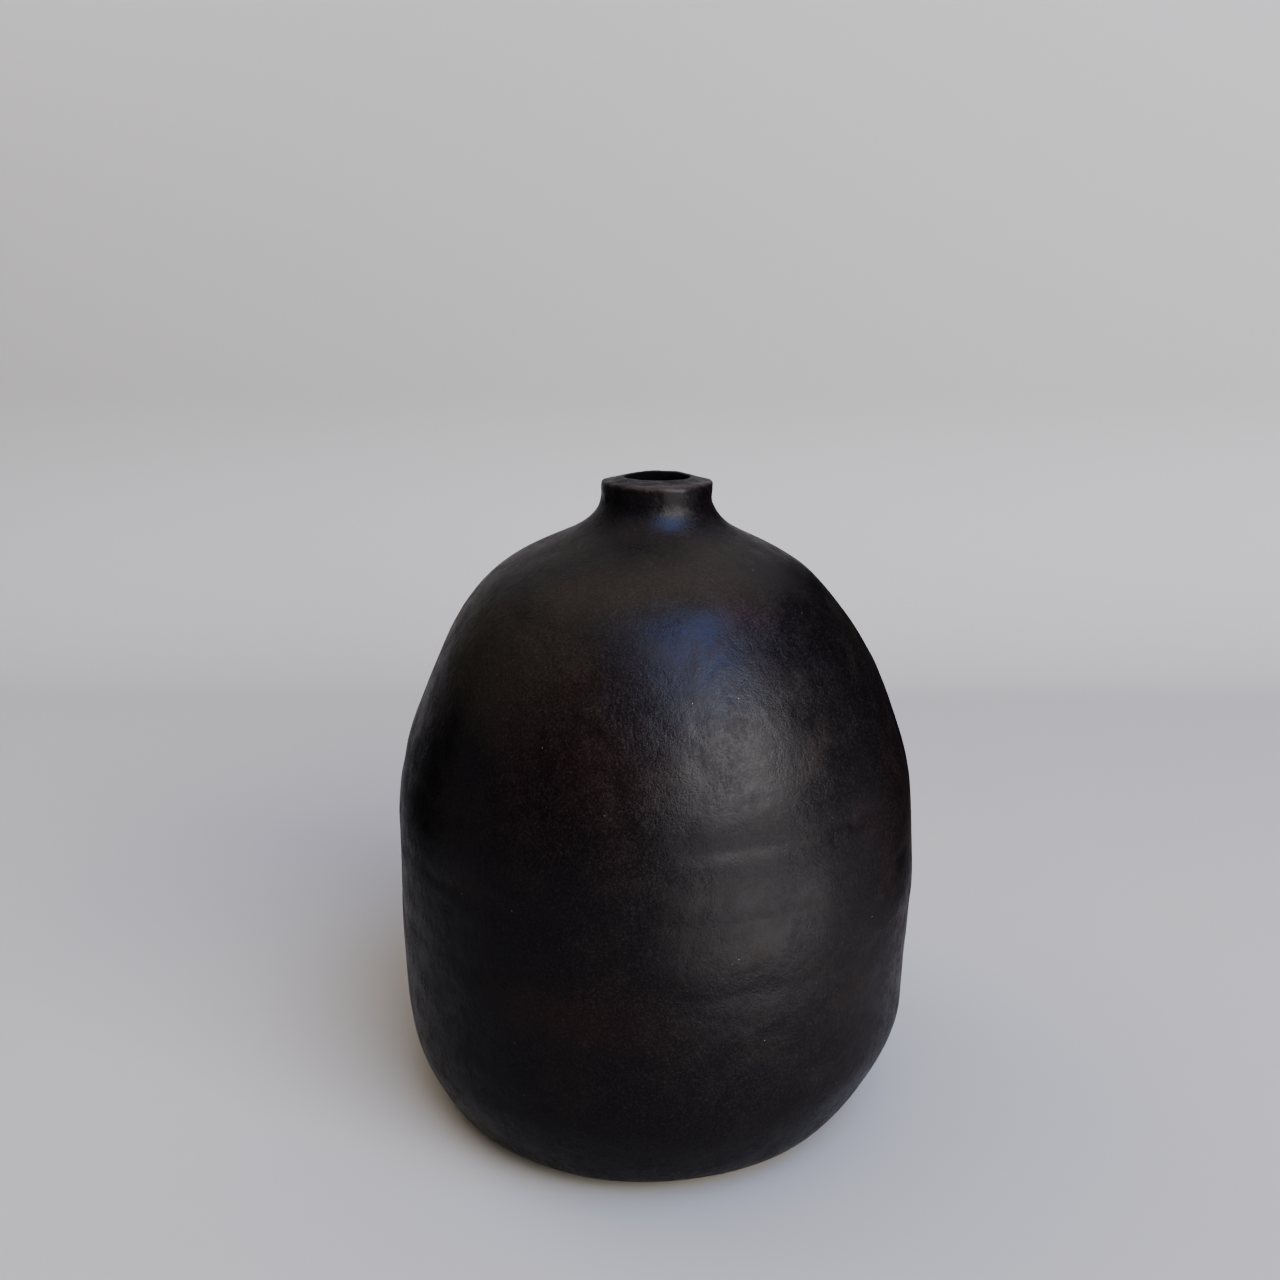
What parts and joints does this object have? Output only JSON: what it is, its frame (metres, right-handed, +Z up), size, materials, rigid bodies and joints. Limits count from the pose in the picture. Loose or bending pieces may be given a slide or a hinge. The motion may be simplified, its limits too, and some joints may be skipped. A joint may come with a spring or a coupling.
{
  "type": "clay pot",
  "caption": "Round-bellied hand-built jar of burnished black clay with a narrow neck and a thick rolled lip, standing on a flat foot.",
  "frame": {"origin": "on the ground, on the axis of the belly, at the centre of the flat foot's height", "axes": "+Z up through the mouth, -Y towards the front, +X to the right seen from the front"},
  "size_m": [0.2307, 0.2303, 0.2819],
  "materials": {
    "burnished_clay": "smoke-fired black earthenware, burnished to a soft satin sheen"
  },
  "bodies": {
    "root": {"base_slab": "burnished_clay", "heel_course": "burnished_clay", "lower_wall_course": "burnished_clay", "lower_belly_course": "burnished_clay", "belly_course": "burnished_clay", "upper_belly_course": "burnished_clay", "lower_shoulder_course": "burnished_clay", "shoulder_course": "burnished_clay", "upper_shoulder_course": "burnished_clay", "closing_course": "burnished_clay", "neck_collar": "burnished_clay", "lip_coil": "burnished_clay"}
  },
  "joints": []
}
